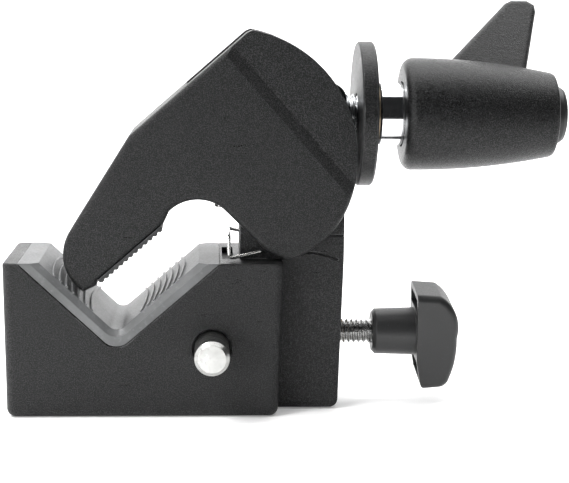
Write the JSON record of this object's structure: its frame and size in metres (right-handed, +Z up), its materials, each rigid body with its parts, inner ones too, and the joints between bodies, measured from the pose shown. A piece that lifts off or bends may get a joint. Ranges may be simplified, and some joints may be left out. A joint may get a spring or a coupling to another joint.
{
  "type": "super clamp",
  "caption": "Lever-operated tube clamp with a V-block, a swinging jaw driven by a screw handle, and a hexagonal stud socket with a lock knob and a push-button safety pin.",
  "frame": {"origin": "centre of the hexagonal stud socket's mouth, on the base plane", "axes": "+X from the V-block towards the lever handle, +Z up from the base, +Y towards the back, away from the safety pin's button"},
  "size_m": [0.1417, 0.0547, 0.104],
  "materials": {
    "casting": "satin black powder coat over cast aluminium",
    "liner": "dark grey moulded liner",
    "jaw_liner": "black moulded serrated pad",
    "chrome": "bright chrome plate",
    "steel": "zinc-plated steel",
    "disc": "dark satin plated steel",
    "bronze": "sintered bronze",
    "knob": "black moulded nylon",
    "handle": "satin black coat over die-cast alloy"
  },
  "bodies": {
    "root": {"body_casting": "casting", "lower_v_pad": "liner", "hinge_pin": "steel", "hinge_washers": "steel", "jaw_spring": "steel", "spindle": "steel", "spindle_cross_pin": "steel", "spindle_stop_ring": "steel", "lock_insert": "bronze", "safety_pin_spring": "steel", "safety_pin_plug": "steel"},
    "jaw": {"moving_jaw": "casting", "jaw_pad": "jaw_liner", "jaw_bushes": "bronze"},
    "disc_carriage": {"pressure_disc": "disc", "thrust_washer": "bronze"},
    "drive_nut": {"drive_sleeve": "chrome", "ratchet_gear": "steel", "spring_washer": "steel", "retaining_screw": "steel", "handle_spring": "steel"},
    "handle": {"lever_handle": "handle", "handle_insert": "steel", "end_cap": "knob"},
    "lock_tip": {"lock_thrust_tip": "bronze"},
    "lock_wing": {"lock_screw": "steel", "lock_knob": "knob"},
    "safety_button": {"safety_pin": "chrome"}
  },
  "joints": [
    {"name": "handle_spin", "type": "hinge", "parent": "disc_carriage", "child": "drive_nut", "pos_m": [0.04, 0, 0.0751], "axis": [1, 0, 0], "range_deg": [-62, 2945]},
    {"name": "disc_travel", "type": "slide", "parent": "root", "child": "disc_carriage", "axis": [1, 0, 0], "range_m": [-0.0005, 0.0245]},
    {"name": "jaw_hinge", "type": "hinge", "parent": "root", "child": "jaw", "pos_m": [0.0086, 0, 0.047], "axis": [0, 1, 0], "range_deg": [-1.5, 64.1], "deforming": ["jaw_spring"]},
    {"name": "handle_pull", "type": "slide", "parent": "drive_nut", "child": "handle", "axis": [1, 0, 0], "range_m": [0, 0.004], "stiffness_N_per_m": 1200, "springref_m": -0.003, "deforming": ["handle_spring"]},
    {"name": "lock_spin", "type": "hinge", "parent": "lock_tip", "child": "lock_wing", "pos_m": [0.031, 0, 0.0185], "axis": [1, 0, 0], "range_deg": [-1440, 1080]},
    {"name": "lock_travel", "type": "slide", "parent": "root", "child": "lock_tip", "axis": [1, 0, 0], "range_m": [-0.0052, 0.0039]},
    {"name": "safety_push", "type": "slide", "parent": "root", "child": "safety_button", "axis": [0, 1, 0], "range_m": [0, 0.0053], "stiffness_N_per_m": 500, "springref_m": -0.003, "deforming": ["safety_pin_spring"]}
  ],
  "couplings": [
    {"joint": "handle_spin", "follows": "disc_travel", "rad_per_m": 2094.4},
    {"joint": "jaw_hinge", "follows": "disc_travel", "rad_per_m": 45.592},
    {"joint": "lock_travel", "follows": "lock_spin", "m_per_rad": 0.00020213}
  ]
}
